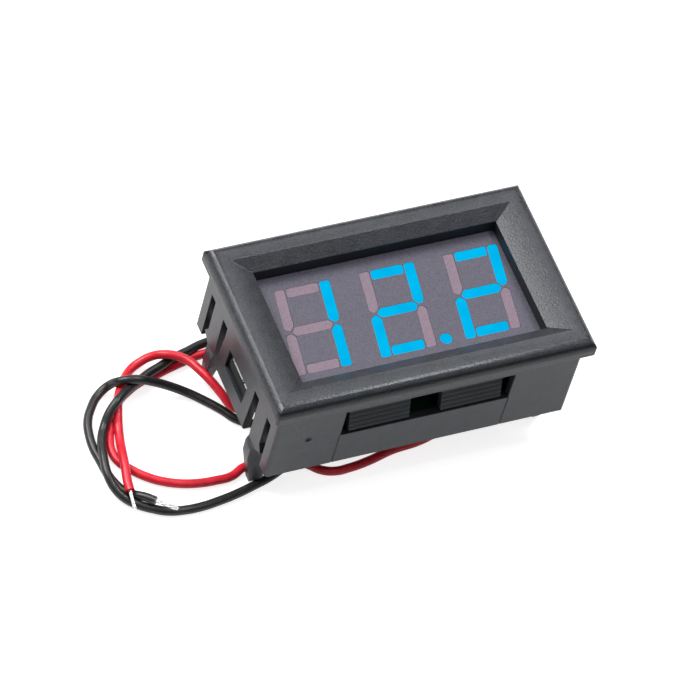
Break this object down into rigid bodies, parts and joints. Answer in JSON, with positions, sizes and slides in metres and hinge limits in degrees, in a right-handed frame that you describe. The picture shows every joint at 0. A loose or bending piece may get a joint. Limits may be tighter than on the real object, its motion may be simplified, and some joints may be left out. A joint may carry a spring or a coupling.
{
  "type": "digital panel meter",
  "caption": "Snap-in panel meter: a black moulded case with a bezel and snap legs, a lit segment display showing a reading, a rear circuit board and stripped red and black leads.",
  "frame": {"origin": "centre of the bezel's outline, on the plane of the four snap legs' ends that the meter stands on", "axes": "+Z out of the display, +X along the reading from the first digit to the last, +Y to the top of the digits"},
  "size_m": [0.0665, 0.0294, 0.0244],
  "materials": {
    "case_plastic": "fine-grained black moulded plastic, satin",
    "mask_print": "grey-mauve printed film, faintly grainy",
    "housing_plastic": "black moulded plastic",
    "segment_lit": "lit blue epoxy segment",
    "segment_unlit": "milky pink-mauve epoxy, unlit",
    "board": "green solder mask on glass fibre",
    "brass_pads": "tiny light-emitting dies",
    "tinned": "tinned metal and solder",
    "chip_plastic": "black moulded epoxy package",
    "ceramic_tan": "tan fired ceramic",
    "trimmer_plastic": "blue moulded plastic",
    "red_insulation": "soft red insulation",
    "black_insulation": "soft black insulation"
  },
  "bodies": {
    "meter": {"case": "case_plastic", "display_mask": "mask_print", "display_housing": "housing_plastic", "display_base": "board", "led_dies": "brass_pads", "tens_lit": "segment_lit", "tens_unlit": "segment_unlit", "units_lit": "segment_lit", "units_unlit": "segment_unlit", "tenths_lit": "segment_lit", "tenths_unlit": "segment_unlit", "decimal_point": "segment_lit", "display_pins": "tinned", "circuit_board": "board", "pin_solder": "tinned", "microcontroller": "chip_plastic", "voltage_regulator": "chip_plastic", "input_diode": "chip_plastic", "chip_resistors": "chip_plastic", "chip_capacitors": "ceramic_tan", "trimmer_base": "trimmer_plastic", "lead_solder": "tinned", "red_lead": "red_insulation", "red_lead_tip": "tinned", "black_lead": "black_insulation", "black_lead_tip": "tinned"},
    "rotor": {"trimmer_rotor": "tinned"}
  },
  "joints": [
    {"name": "trimmer_turn", "type": "hinge", "parent": "meter", "child": "rotor", "pos_m": [0.0174, -0.001, 0.0095], "axis": [0, 0, 1], "range_deg": [-105, 105]}
  ]
}
